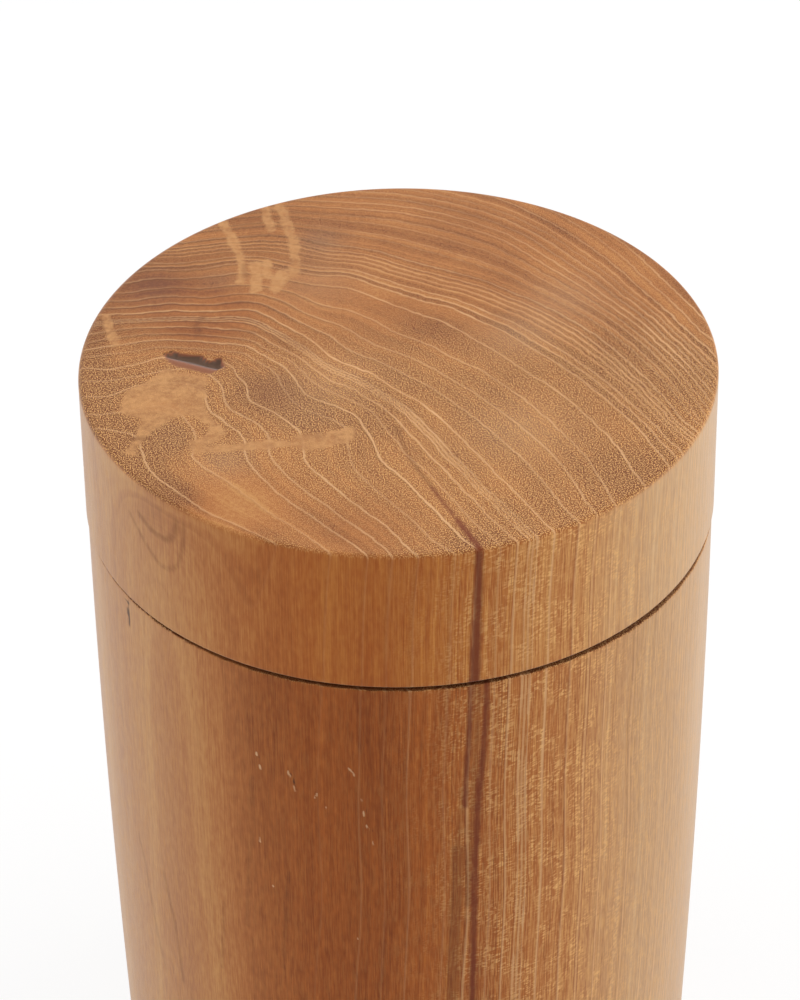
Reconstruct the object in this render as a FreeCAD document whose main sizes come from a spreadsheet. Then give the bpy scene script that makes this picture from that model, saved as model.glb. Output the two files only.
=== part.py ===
import FreeCAD, Part
import math
import os

import Sketcher

# A storage jar turned from one teak log: a hollowed jar and a lift-off lid parted from the same billet.
# The frame has +Z up along the lathe axis, with the origin at the middle of the face that the jar stands on.
# Every size is in millimetres.

# Sizes that can each be set alone.
DRIVING_SIZES = {
    # Outside diameter of the jar at its shoulder, just under the lid.
    "jar_diameter": 119.4,
    # From the standing face up to the rim that the lid sits on.
    "jar_height": 150.0,
    # How far the side draws in from the shoulder to the foot, on the radius.
    "side_draw_in": 3.3,
    # Thickness of the jar's wall, the same from rim to floor.
    "wall": 10.0,
    # Thickness of the jar's floor.
    "floor_thickness": 12.0,
    # Round in the corner between the jar's wall and floor.
    "cavity_corner": 8.0,
    # Round under the jar, between its side and standing face.
    "foot_round": 1.5,
    # Height of the lid that shows above the seam.
    "lid_height": 30.0,
    # How far the lid's side stands proud of the shoulder.
    "lid_overhang": 0.3,
    # Thickness left in the top of the lid where it is hollowed.
    "lid_top_thickness": 12.0,
    # Round in the corner inside the lid's hollow.
    "lid_hollow_corner": 6.0,
    # Sanded round on the edge of the lid's top face.
    "lid_edge_round": 0.8,
    # Length of the spigot that drops into the jar's mouth.
    "spigot_length": 12.0,
    # Thickness of the spigot's ring.
    "spigot_wall": 5.0,
    # Gap all round between the spigot and the mouth, for the wood to swell.
    "spigot_clearance": 0.4,
    # Sanded rounds on the outer edges that meet at the seam.
    "seam_round": 0.4,
    # Sanded rounds on the mouth's inner edge and the spigot's lower edges.
    "mouth_round": 0.8,
}

# Sizes that follow from the ones above.
WORKED_OUT_SIZES = {
    "shoulder_radius": "=jar_diameter / 2",
    # The side is an arc that stands upright at the shoulder and ends at the foot.
    "side_arc": "=(jar_height ^ 2 + side_draw_in ^ 2) / (2 * side_draw_in)",
    "side_arc_centre": "=shoulder_radius - side_arc",
    "cavity_arc": "=side_arc - wall",
    "mouth_radius": "=shoulder_radius - wall",
    "lid_radius": "=shoulder_radius + lid_overhang",
    "spigot_radius": "=mouth_radius - spigot_clearance",
    "spigot_foot": "=0 - spigot_length",
    "lid_hollow_radius": "=spigot_radius - spigot_wall",
    "lid_hollow_top": "=lid_height - lid_top_thickness",
}

# Rounds where a level face of the jar meets its outer side or the wall of its hollow. Each has its size, the height
# of the level face, whether it lies above or below that face, the arc that it runs into, and whether its centre lies
# nearer to that arc's centre or further out.
JAR_ROUNDS = {
    "foot_edge": ("foot_round", "0", "+", "side_arc", "-"),
    "shoulder_edge": ("seam_round", "jar_height", "-", "side_arc", "-"),
    "cavity_edge": ("cavity_corner", "floor_thickness", "+", "cavity_arc", "-"),
    "mouth_edge": ("mouth_round", "jar_height", "-", "cavity_arc", "+"),
}

# How far an edge may lie from the circle that names it.
EDGE_TOLERANCE = 0.001

SHEET = "sizes"
# How a sketch numbers its own axes and origin, and the points of a line or an arc.
LEVEL_AXIS, UPRIGHT_AXIS = range(-1, -3, -1)
START_POINT, END_POINT, CENTRE_POINT = range(1, 4)
ORIGIN = (LEVEL_AXIS, START_POINT)


def round_sizes(name, size, level, side, arc, reach):
    """Formula cells for a round that touches a level face and an arc: its centre, and where it meets the arc.

    The arc's centre is the one that the jar's side and its hollow share, level with the rim. The round's centre lies
    on a circle about it, smaller or larger than the arc by the round's size, and the two touch on the line between
    their centres.
    """
    circle = f"({arc} {reach} {size})"
    return {
        f"{name}_height": f"={level} {side} {size}",
        f"{name}_radius": f"=side_arc_centre + sqrt({circle} ^ 2 - (jar_height - {name}_height) ^ 2)",
        f"{name}_touch_radius": f"=side_arc_centre + ({name}_radius - side_arc_centre) * {arc} / {circle}",
        f"{name}_touch_height": f"=jar_height - (jar_height - {name}_height) * {arc} / {circle}",
    }


def make_sheet(doc):
    """Fills the spreadsheet: a name in column A and its size, under the same alias, in column B."""
    sheet = doc.addObject("Spreadsheet::Sheet", SHEET)
    cells = {**DRIVING_SIZES, **WORKED_OUT_SIZES}
    for name, facts in JAR_ROUNDS.items():
        cells.update(round_sizes(name, *facts))
    for row, (name, value) in enumerate(cells.items(), start=1):
        sheet.set(f"A{row}", name)
        sheet.set(f"B{row}", str(value))
        sheet.setAlias(f"B{row}", name)
    doc.recompute()
    return sheet


def cell_value(sheet, name):
    """The number in a cell, or 0 where a corner lies on the axis or on the zero height."""
    return float(sheet.get(name)) if name else 0.0


def cell_point(sheet, cells):
    """The point that a pair of cells gives, in the plane of a sketch."""
    return FreeCAD.Vector(*(cell_value(sheet, cell) for cell in cells), 0)


def place_point(sketch, sheet, point, corner, label):
    """Ties a point of the sketch to a corner: a cell each for the distance from the axis and the height."""
    measures = (("DistanceX", UPRIGHT_AXIS, "radius"), ("DistanceY", LEVEL_AXIS, "height"))
    for (kind, axis, word), cell in zip(measures, corner):
        if cell is None:
            sketch.addConstraint(Sketcher.Constraint("PointOnObject", *point, axis))
        else:
            tie_to_cell(sketch, sheet, kind, point, cell, f"{label}_{word}")


def tie_to_cell(sketch, sheet, kind, point, cell, name):
    """Adds a named distance from the sketch's origin to a point and binds it to a cell."""
    index = sketch.addConstraint(Sketcher.Constraint(kind, *ORIGIN, *point, cell_value(sheet, cell)))
    sketch.renameConstraint(index, name)
    sketch.setExpression(f"Constraints.{name}", f"{SHEET}.{cell}")


def half_section(body, sheet, name, corners):
    """Draws a closed half-section on the body's XZ plane, ready to be turned about the Z axis.

    corners holds, in order round the section, the cell names of each corner's distance from the axis and height, with
    None for zero. A corner with a second pair has an arc after it, about the centre that the pair gives.
    """
    plane = next(item for item in body.Origin.OriginFeatures if item.Role == "XZ_Plane")
    sketch = body.newObject("Sketcher::SketchObject", name)
    sketch.AttachmentSupport = (plane, [""])
    sketch.MapMode = "FlatFace"
    points = [cell_point(sheet, corner[:2]) for corner in corners]
    first_ends, last_ends = [], []
    for number, (start, corner) in enumerate(zip(points, corners)):
        end = points[(number + 1) % len(points)]
        centre = corner[2:]
        if centre:
            side, turns_left = arc_between(start, end, cell_point(sheet, centre))
        else:
            side, turns_left = Part.LineSegment(start, end), True
        edge = sketch.addGeometry(side, False)
        first_ends.append((edge, START_POINT if turns_left else END_POINT))
        last_ends.append((edge, END_POINT if turns_left else START_POINT))
        if centre:
            # The arc's two ends and the height of its centre settle the rest of it.
            tie_to_cell(sketch, sheet, "DistanceY", (edge, CENTRE_POINT), centre[1], f"arc_{number}_height")
    for number, end in enumerate(last_ends):
        following = first_ends[(number + 1) % len(points)]
        sketch.addConstraint(Sketcher.Constraint("Coincident", *end, *following))
    for number, (point, corner) in enumerate(zip(first_ends, corners)):
        place_point(sketch, sheet, point, corner, f"corner_{number}")
    return sketch


def arc_between(start, end, centre):
    """The short arc from start to end about centre, and whether it runs anticlockwise as drawn."""
    first, last = (math.atan2(point.y - centre.y, point.x - centre.x) for point in (start, end))
    sweep = math.remainder(last - first, math.tau)
    circle = Part.Circle(centre, FreeCAD.Vector(0, 0, 1), (start - centre).Length)
    return Part.ArcOfCircle(circle, min(first, first + sweep), max(first, first + sweep)), sweep > 0


def turn(body, kind, name, sketch):
    """Turns a half-section about the lathe axis: a Revolution adds wood and a Groove takes it away."""
    feature = body.newObject(f"PartDesign::{kind}", name)
    feature.Profile = sketch
    feature.ReferenceAxis = (sketch, ["V_Axis"])
    feature.Angle = 360.0
    body.Document.recompute()
    return feature


def round_edges(body, name, base, sheet, radius_cell, circles):
    """Rounds the circular edges of base that circles names, as (radius, height) pairs in millimetres."""
    edges = []
    for radius, height in circles:
        for number, edge in enumerate(base.Shape.Edges, start=1):
            curve = edge.Curve
            if isinstance(curve, Part.Circle) and math.isclose(curve.Radius, radius, abs_tol=EDGE_TOLERANCE):
                if math.isclose(curve.Center.z, height, abs_tol=EDGE_TOLERANCE):
                    edges.append(f"Edge{number}")
    feature = body.newObject("PartDesign::Fillet", name)
    feature.Base = (base, edges)
    feature.Radius = cell_value(sheet, radius_cell)
    feature.setExpression("Radius", f"{SHEET}.{radius_cell}")
    body.Document.recompute()
    return feature


def make_jar(doc, sheet):
    """The jar: turned outside to a side that draws in to the foot, then hollowed to an even wall."""
    body = doc.addObject("PartDesign::Body", "jar")
    side_centre = ("side_arc_centre", "jar_height")
    outside = half_section(
        body,
        sheet,
        "jar_outside",
        [
            (None, None),
            ("foot_edge_radius", None, "foot_edge_radius", "foot_edge_height"),
            ("foot_edge_touch_radius", "foot_edge_touch_height", *side_centre),
            ("shoulder_edge_touch_radius", "shoulder_edge_touch_height",
             "shoulder_edge_radius", "shoulder_edge_height"),
            ("shoulder_edge_radius", "jar_height"),
            (None, "jar_height"),
        ],
    )
    blank = turn(body, "Revolution", "jar_blank", outside)
    inside = half_section(
        body,
        sheet,
        "jar_inside",
        [
            (None, "floor_thickness"),
            ("cavity_edge_radius", "floor_thickness", "cavity_edge_radius", "cavity_edge_height"),
            ("cavity_edge_touch_radius", "cavity_edge_touch_height", *side_centre),
            ("mouth_edge_touch_radius", "mouth_edge_touch_height", "mouth_edge_radius", "mouth_edge_height"),
            ("mouth_edge_radius", "jar_height"),
            (None, "jar_height"),
        ],
    )
    hollow = turn(body, "Groove", "jar_hollow", inside)
    require_cut(blank, hollow)
    return body


def make_lid(doc, sheet):
    """The lid, drawn from its seat at zero height: a cap with a spigot ring below, hollowed from beneath."""
    body = doc.addObject("PartDesign::Body", "lid")
    outside = half_section(
        body,
        sheet,
        "lid_outside",
        [
            (None, "spigot_foot"),
            ("spigot_radius", "spigot_foot"),
            ("spigot_radius", None),
            ("lid_radius", None),
            ("lid_radius", "lid_height"),
            (None, "lid_height"),
        ],
    )
    blank = turn(body, "Revolution", "lid_blank", outside)
    inside = half_section(
        body,
        sheet,
        "lid_inside",
        [
            (None, "spigot_foot"),
            ("lid_hollow_radius", "spigot_foot"),
            ("lid_hollow_radius", "lid_hollow_top"),
            (None, "lid_hollow_top"),
        ],
    )
    hollow = turn(body, "Groove", "lid_hollow", inside)
    require_cut(blank, hollow)
    foot = sheet.spigot_foot
    shape = round_edges(body, "lid_hollow_corner_round", hollow, sheet, "lid_hollow_corner",
                        [(sheet.lid_hollow_radius, sheet.lid_hollow_top)])
    shape = round_edges(body, "lid_top_edge_round", shape, sheet, "lid_edge_round",
                        [(sheet.lid_radius, sheet.lid_height)])
    shape = round_edges(body, "lid_seam_edge_round", shape, sheet, "seam_round", [(sheet.lid_radius, 0.0)])
    round_edges(body, "spigot_edge_round", shape, sheet, "mouth_round",
                [(sheet.spigot_radius, foot), (sheet.lid_hollow_radius, foot)])
    body.setExpression("Placement.Base.z", f"{SHEET}.jar_height")
    doc.recompute()
    return body


def require_cut(before, after):
    """Stops the build if a groove took no wood away."""
    if after.Shape.Volume >= before.Shape.Volume:
        raise RuntimeError(f"{after.Label} cuts nothing from {before.Label}")


def check_document(doc, bodies):
    """Stops the build if any object failed to recompute or a finished piece isn't one sound solid."""
    failed = [item.Label for item in doc.Objects if {"Invalid", "Error"} & set(item.State)]
    unsound = [body.Label for body in bodies
               if body.Shape.isNull() or not body.Shape.isValid() or len(body.Shape.Solids) != 1]
    if failed or unsound:
        raise RuntimeError(f"failed objects: {failed}, unsound pieces: {unsound}")


def main():
    """Builds the document and writes one STEP file for each piece."""
    doc = FreeCAD.newDocument("storage_jar")
    sheet = make_sheet(doc)
    bodies = [make_jar(doc, sheet), make_lid(doc, sheet)]
    doc.recompute()
    check_document(doc, bodies)
    os.makedirs("parts", exist_ok=True)
    for body in bodies:
        body.Shape.exportStep(os.path.join("parts", f"{body.Label}.step"))
        box = body.Shape.BoundBox
        print(f"{body.Label}: {body.Shape.Volume / 1000:.1f} cm3, z {box.ZMin:.2f} to {box.ZMax:.2f}")


main()
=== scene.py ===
"""Looks for a turned teak storage jar: a hollowed jar and the lift-off lid parted from the same log."""

import logging
import math
from dataclasses import dataclass
from enum import Enum
from typing import Any, ClassVar

import bpy
import numpy as np
from mathutils import Matrix, Vector


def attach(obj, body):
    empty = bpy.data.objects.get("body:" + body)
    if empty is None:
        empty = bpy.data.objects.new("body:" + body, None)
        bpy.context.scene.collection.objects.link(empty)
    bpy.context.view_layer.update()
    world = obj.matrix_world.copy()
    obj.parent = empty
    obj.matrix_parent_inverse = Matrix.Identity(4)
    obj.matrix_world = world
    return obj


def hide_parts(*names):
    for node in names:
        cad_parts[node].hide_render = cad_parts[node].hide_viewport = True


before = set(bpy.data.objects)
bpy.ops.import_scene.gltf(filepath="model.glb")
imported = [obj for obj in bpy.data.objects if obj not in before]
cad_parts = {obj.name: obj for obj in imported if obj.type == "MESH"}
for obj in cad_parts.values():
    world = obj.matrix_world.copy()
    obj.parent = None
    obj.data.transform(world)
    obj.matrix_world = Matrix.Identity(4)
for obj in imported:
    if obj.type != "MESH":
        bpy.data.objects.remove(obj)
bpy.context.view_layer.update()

LOG = logging.getLogger("storage_jar")
# Sizes are in millimetres unless a line says otherwise, and become metres in the meshes and patterns.
MM = 0.001
# Heights that both pieces share: the seam between jar and lid, and the lid's top.
SEAM = 150.0
LID_TOP = 180.0
# A signed distance that is far outside any mark.
FAR = 20.0
Point = tuple[float, float]
# A radius or a height of a section: one number, or one for each column of the mesh.
Length = float | np.ndarray
Spot = tuple[Length, Length]


def linear_colour(code: str) -> tuple[float, float, float, float]:
    """Turns an sRGB hex colour into the linear colour that a shader takes.

    Args:
        code: six hex digits, such as "b5804f".

    Returns:
        Linear red, green and blue, with an alpha of 1.
    """
    shares = [int(code[i:i + 2], 16) / 255 for i in (0, 2, 4)]
    linear = [s / 12.92 if s <= 0.04045 else ((s + 0.055) / 1.055) ** 2.4 for s in shares]
    return (*linear, 1.0)


def ease(low: float, high: float, value: np.ndarray) -> np.ndarray:
    """Rises smoothly from 0 at low to 1 at high, or falls where low is the larger."""
    share = np.clip((value - low) / (high - low), 0, 1)
    return share * share * (3 - 2 * share)


class NodeBoard:
    """The node tree of a material or of the surroundings, with one way to add a node to it."""

    def __init__(self, owner: bpy.types.Material | bpy.types.World) -> None:
        """Empties the owner's node tree and keeps it.

        Args:
            owner: the material or the surroundings.
        """
        owner.use_nodes = True
        self.tree = owner.node_tree
        self.tree.nodes.clear()

    def add(self, kind: str, *values: Any, out: Any = 0, **settings: Any) -> Any:
        """Adds a node with its settings, and fills its inputs with values or links.

        Args:
            kind: the node's type without its ShaderNode prefix.
            values: a value or socket for each input in order, None to leave one, or one dict by name.
            out: number or name of the output wanted, or a tuple of them, or None for the node itself.
            settings: the node's own properties.

        Returns:
            The output socket, a list of them, or the node.
        """
        node = self.tree.nodes.new(f"ShaderNode{kind}")
        for name, value in settings.items():
            setattr(node, name, value)
        inputs = values[0] if values and isinstance(values[0], dict) else dict(enumerate(values))
        for name, value in inputs.items():
            if isinstance(value, bpy.types.NodeSocket):
                self.tree.links.new(value, node.inputs[name])
            elif value is not None:
                node.inputs[name].default_value = value
        if out is None or not node.outputs:
            return node
        return [node.outputs[o] for o in out] if isinstance(out, tuple) else node.outputs[out]


class Mark(Enum):
    """What a mark on the wood shows."""

    CALLUS = "pale wood that healed over a branch"
    TORN = "torn grain that catches the light"
    BARK = "dark ingrown bark or an open crack"
    STREAK = "red-brown mineral streak"
    LATE = "dark late wood where a ring is cut flat, or a dark vein"
    HOLE = "open hole of a lost knot"


@dataclass(frozen=True)
class Blot:
    """A mark drawn flat in millimetres: a filled outline, or a line when it has a half width."""

    mark: Mark
    path: tuple[Point, ...]
    half_width: float = 0.0

    def distance(self, across: np.ndarray, up: np.ndarray) -> np.ndarray:
        """Signed distance to the mark's edge, negative inside.

        Each point is dropped onto every side of the path, its foot held between the side's ends, and the
        shortest length is kept. For a line the half width is taken off it. For an outline it is negative
        where a level ray from the point crosses the outline an odd number of times.

        Args:
            across: places along the first axis.
            up: places along the second axis.

        Returns:
            Distances of the same shape.
        """
        closed = self.half_width == 0
        ends = self.path[1:] + self.path[:1] if closed else self.path[1:]
        nearest = np.full_like(across, np.inf)
        inside = np.zeros(across.shape, bool)
        for (x0, y0), (x1, y1) in zip(self.path, ends):
            run, rise = x1 - x0, y1 - y0
            along = np.clip(((across - x0) * run + (up - y0) * rise) / (run ** 2 + rise ** 2), 0, 1)
            nearest = np.minimum(nearest, np.hypot(across - x0 - along * run, up - y0 - along * rise))
            if closed and rise != 0:
                crosses = (up < max(y0, y1)) & (up >= min(y0, y1))
                inside ^= crosses & (across < x0 + (up - y0) * run / rise)
        return np.where(inside, -nearest, nearest) - self.half_width


def nearest_mark(blots: tuple[Blot, ...], kinds: tuple[Mark, ...],
                 across: np.ndarray, up: np.ndarray) -> np.ndarray:
    """Signed distance to the nearest mark of the kinds asked for."""
    distances = [blot.distance(across, up) for blot in blots if blot.mark in kinds]
    return np.min(distances, axis=0) if distances else np.full_like(across, FAR)


# Growth rings of the log where they cross the lid's top, from the front left outwards, each followed
# through a few points to the right of the axis and behind it.
RING_LINES: dict[float, tuple[Point, ...]] = {
    1: ((-56, -20), (-49, -22), (-47, -28), (-45, -34), (-40, -40), (-34, -47)),
    2: ((-56, -16), (-50, -15), (-38, -30), (-32, -36), (-27, -42), (-20, -50), (-13, -58)),
    3: ((-58, -10), (-53, -10), (-49, -6), (-36, -8), (-33, -17), (-28, -24), (-26, -34), (-14, -50),
        (-6, -59)),
    4: ((-58, -5), (-54, -5), (-48, -4), (-34, -5), (-32, -14), (-25, -21), (-24, -29), (-18, -39),
        (-2, -59)),
    5: ((-58, -1), (-54, -2), (-49, 0), (-31, -4), (-28, -12), (-19, -21), (-17, -32), (-7, -46),
        (2, -59)),
    6: ((-59, 3), (-54, 4), (-46, 6), (-29, 4), (-23, -2), (-20, -10), (-10, -20), (-9, -29), (0, -46),
        (10, -59)),
    7: ((-59, 5), (-50, 7), (-42, 8), (-30, 6), (-22, -1), (-18, -10), (-7, -20), (-4, -30), (4, -43),
        (12, -57)),
    8: ((-59, 7), (-53, 9), (-40, 10), (-27, 7), (-20, 0), (-12, -10), (-5, -16), (0, -26), (5, -34.5),
        (9, -42), (12, -48), (16, -54), (18, -57)),
    9: ((-56, 11), (-44, 12), (-33, 11), (-24, 6), (-17, 0), (-8, -9), (0, -19.5), (4, -27), (8, -34),
        (13, -43), (20, -55)),
    10: ((-56, 14), (-44, 15), (-32, 15), (-22, 9), (-15, 0), (-5, -9), (4, -21), (9, -31), (14, -40),
         (18.5, -47), (22, -53)),
    11: ((-55, 17), (-43, 18), (-28, 18), (-19, 10), (-13, 2), (0, -10), (9, -20.5), (14.5, -30),
         (20, -40), (24.5, -48), (27.5, -53.5)),
    12: ((-54, 19), (-40, 20), (-25, 19), (-13, 9), (-4, 0.5), (0, -3), (6, -8), (12, -15.5), (18, -24),
         (23, -32), (27, -40), (32, -50)),
    13: ((-53, 21), (-36, 22), (-27, 23), (-16, 15), (-5, 6), (5, -1), (10, -6.5), (16, -13), (22, -21),
         (26, -27), (29.5, -33.5), (32, -40), (35, -48)),
    14: ((-51, 24), (-38, 25), (-28, 26), (-15, 19), (0, 9), (10, 1), (16, -3.5), (22, -11), (27, -18.5),
         (31, -25.5), (34, -31), (36, -37), (38.5, -45.5)),
    15: ((-50, 28), (-38, 29), (-27, 30), (-8, 24), (5, 15), (15, 6), (21, -0.5), (25, -5.5), (30, -11),
         (34, -17.5), (37.5, -23.5), (40, -28.5), (42, -35), (44.5, -40)),
    16: ((-47, 32), (-30, 34), (-10, 29), (0, 23), (10, 18), (20, 10), (28.5, 0.5), (33, -5), (37, -11),
         (41, -17.5), (45, -25), (48.5, -33)),
    17: ((33, 0), (37, -5), (40.5, -10), (44, -15.5), (47.5, -21.5), (51.5, -29.5)),
    19: ((-44, 38), (-30, 40), (-13, 36), (0, 31), (10, 26), (20, 20), (30, 11.5), (35, 6), (38, 1.5),
         (42, -5), (46, -12.5), (49.5, -20)),
    21: ((-38, 45), (-25, 47), (-12, 44), (0, 40), (10, 35), (20, 29), (30, 20), (36, 14), (40, 9),
         (45, 1.5), (49, -6), (52.5, -14), (55, -21)),
    23: ((-26, 54), (-14, 53), (0, 51), (10, 47), (20, 41), (30, 30), (40, 18), (50, 3), (57, -12)),
    25: ((8, 57), (20, 51), (30, 42), (40, 29), (50, 13), (57, 0)),
    27: ((32, 49), (38, 42), (48, 26), (56, 11)),
}
# Pale lines that crowd in between whole rings.
CLOSE_LINES = (9.8, 10.2, 16.5, 18.5, 19.4, 21.3, 22.4, 23.5, 24.5, 25.4)

# Marks on the lid's top, to the right of the axis and behind it: round the knot, branch traces, streak.
TOP_BLOTS = (
    Blot(Mark.HOLE, ((-44, 3), (-43.5, 4), (-42.5, 3.5), (-42, 4.5), (-41, 3.5), (-37, 3), (-36, 1.5),
                     (-35, 1), (-34, 2), (-33, 2), (-32.8, -1), (-35, -3.4), (-36.5, -3), (-39.5, -1.6),
                     (-42, -0.6), (-43.2, 0.8))),
    Blot(Mark.CALLUS, ((-43.5, -1), (-41, -2.5), (-37, -3.5), (-35.5, -4), (-36, -12), (-35, -16),
                       (-32, -22), (-32.5, -24), (-36.5, -27), (-38.5, -27), (-38.5, -24.5), (-36.5, -24),
                       (-34.5, -21), (-36.5, -18), (-38, -16.5), (-40.5, -16.5), (-44, -19.5),
                       (-46.5, -23), (-48.5, -28.5), (-50, -27.5), (-48, -22), (-48, -17), (-50.5, -16.5),
                       (-51.5, -14.5), (-50.5, -8), (-46.5, -5.5))),
    Blot(Mark.CALLUS, ((-38.1, -27.6), (-36.7, -26.1), (-29.5, -25.9), (-26.6, -24.6), (-24.1, -24.3),
                       (-20.5, -25), (-18.3, -22.5), (-13.2, -22.4), (-7.6, -20.5), (-7.4, -23.6),
                       (-9.6, -25.9), (-13.2, -26.8), (-17.5, -28), (-20.4, -26.6), (-24, -27.5),
                       (-31.3, -27.8), (-37.7, -28.3))),
    Blot(Mark.CALLUS, ((-35, 48.5), (-33.5, 48.5), (-30.5, 40.5), (-29.5, 36), (-29, 30), (-29.5, 26),
                       (-31, 27), (-30.5, 32), (-31.5, 37))),
    Blot(Mark.CALLUS, ((-28.5, 34), (-26.5, 34), (-26, 24.5), (-28, 23.5))),
    Blot(Mark.CALLUS, ((-24, 28), (-22.5, 31), (-21.5, 31), (-20.5, 28.5), (-22, 24.5), (-23.5, 23),
                       (-24.5, 25))),
    Blot(Mark.CALLUS, ((-23, 54), (-21.5, 47), (-20, 41), (-19.5, 35), (-20, 29)), 1.0),
    Blot(Mark.CALLUS, ((-25, 34), (-25, 29)), 0.7),
    Blot(Mark.CALLUS, ((-26, 53), (-24.5, 45)), 0.9),
    Blot(Mark.CALLUS, ((-55.5, 16), (-54.5, 11), (-53, 7)), 0.9),
    # Dark corners at the hole's edge: bark with painted shade under the lip.
    Blot(Mark.BARK, ((-44, 3.3), (-42.2, 4.3)), 0.3),
    Blot(Mark.BARK, ((-33.6, 1.9), (-32.9, 0)), 0.25),
    Blot(Mark.LATE, ((-37, 15.5), (-38.3, 12.5), (-37.6, 10)), 0.5),
    Blot(Mark.LATE, ((-29.5, 33), (-29.3, 29)), 0.3),
    Blot(Mark.LATE, ((-36, 13.8), (-30, 11.4), (-24.5, 9.3), (-20, 4)), 0.2),
    Blot(Mark.LATE, ((-49, -23.5), (-46.5, -23.5)), 0.4),
    Blot(Mark.LATE, ((-0.6, -20.9), (1.5, -29.3), (3.7, -35.1), (5.8, -39.7)), 0.2),
    Blot(Mark.STREAK, ((5.8, -39.7), (8.2, -45.1), (10.3, -49.7)), 0.1),
    Blot(Mark.STREAK, ((10.3, -49.7), (12.3, -54), (13.9, -57.6), (14.3, -59.5)), 0.4),
)

# Marks on the sides, round the side from the front and above the foot: the streak, the arches of a ring
# cut flat, dark veins, a short crack and torn grain.
LID_BLOTS = (
    Blot(Mark.STREAK, ((14.1, 180), (13.8, 167.3), (13.4, 150)), 0.6),
    Blot(Mark.STREAK, ((13.6, 164), (13.4, 158)), 0.68),
    Blot(Mark.STREAK, ((13.4, 158), (13.2, 150)), 0.78),
    Blot(Mark.LATE, ((-58, 171), (-56.4, 169.6), (-53.1, 166.7), (-49.8, 164.3), (-47.1, 164.2),
                     (-44.4, 166.3), (-43, 171), (-42.3, 177)), 0.15),
    Blot(Mark.LATE, ((-54.8, 172.6), (-52.3, 171.4), (-49.8, 170.8), (-46.7, 171.1), (-44.9, 173.4),
                     (-44.2, 176.5)), 0.4),
)
JAR_BLOTS = (
    Blot(Mark.STREAK, ((12.8, 150), (12.3, 138), (11.8, 130.1), (11.4, 120.5)), 0.3),
    Blot(Mark.STREAK, ((15.5, 150), (15.2, 139.7), (14.7, 131.9), (14.2, 124.8), (13.9, 120)), 0.42),
    Blot(Mark.STREAK, ((14.2, 124.8), (13.9, 120), (13.4, 107.7), (13.2, 99.4), (13, 74.5),
                       (12.8, 0)), 0.5),
    Blot(Mark.LATE, ((14.1, 150), (13.6, 138), (13.2, 128), (12.6, 115), (12, 95)), 0.4),
    Blot(Mark.LATE, ((10.8, 124.5), (10.1, 109.8)), 0.3),
    Blot(Mark.LATE, ((10.1, 109.8), (9.5, 92.1), (8.9, 72.6), (8.5, 0)), 1.1),
    Blot(Mark.LATE, ((-54.4, 85.4), (-52.4, 76.7), (-51.1, 68), (-50.5, 58)), 0.15),
    Blot(Mark.LATE, ((-63.4, 88.9), (-61.3, 83), (-59.6, 71.6), (-57.7, 63.2), (-56.3, 57.6)), 0.02),
    Blot(Mark.LATE, ((-29.4, 123.2), (-29.7, 111.2), (-31.1, 98.6), (-32, 84.4)), 0.05),
    Blot(Mark.LATE, ((-22.4, 101.8), (-23.3, 92.2), (-24.5, 76.3)), 0.05),
    Blot(Mark.LATE, ((-37.3, 88.3), (-38.9, 69.8)), 0.02),
    Blot(Mark.BARK, ((-60.3, 149.6), (-60.6, 146), (-60.9, 142.2)), 0.26),
    Blot(Mark.BARK, ((-62.4, 147.9), (-59.6, 148.2)), 0.22),
    Blot(Mark.BARK, ((-61.4, 146.5), (-61.5, 144.8)), 0.12),
    Blot(Mark.BARK, ((-27.8, 129.2), (-27.6, 128.4)), 0.1),
    Blot(Mark.BARK, ((-21.3, 126.8), (-20.2, 123)), 0.14),
    Blot(Mark.BARK, ((-9.5, 130), (-9, 129.3)), 0.14),
    Blot(Mark.BARK, ((-7.3, 122.6), (-7, 120), (-6, 115)), 0.1),
    Blot(Mark.TORN, ((-28.3, 129.5), (-28.2, 128.8)), 0.2),
    Blot(Mark.TORN, ((-27.7, 126.6), (-27.4, 125.6)), 0.2),
    Blot(Mark.TORN, ((-21.9, 127), (-21.4, 125.6)), 0.17),
    Blot(Mark.TORN, ((-20.9, 123.8), (-20.5, 122.3)), 0.17),
    Blot(Mark.TORN, ((-16.7, 121.8), (-16.3, 122.8)), 0.17),
    Blot(Mark.TORN, ((-14.7, 119.6), (-14.5, 120)), 0.17),
    Blot(Mark.TORN, ((-10.1, 130.3), (-9.7, 129.4)), 0.2),
    Blot(Mark.TORN, ((-9.2, 128.9), (-9, 128.3)), 0.17),
    Blot(Mark.TORN, ((-7.9, 123), (-7.8, 122.2)), 0.17),
    Blot(Mark.TORN, ((-7.5, 119.8), (-7.4, 118.8)), 0.17),
    Blot(Mark.TORN, ((-6.9, 116.6), (-6.6, 115.4)), 0.2),
    Blot(Mark.TORN, ((-5.9, 112.6), (-5.7, 111.6)), 0.17),
    Blot(Mark.TORN, ((-28.4, 108.6), (-28.3, 107.4)), 0.2),
    Blot(Mark.TORN, ((-26, 97.6), (-25.8, 97)), 0.2),
    Blot(Mark.TORN, ((-9.4, 88.4), (-9.2, 87.6)), 0.2),
)


@dataclass(frozen=True)
class Patch:
    """A soft patch of the lid's end grain that is paler or darker, greyer with grey wood or painted
    sheen, or plainer than the rest.
    """

    centre: Point
    spread: float
    lift: float
    ash_and_sheen: float = 0.0
    specks: float = 0.0
    lines: float = 0.0


# Grey on these patches is partly grey wood and partly painted sheen where the top mirrors the bright
# room.
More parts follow.
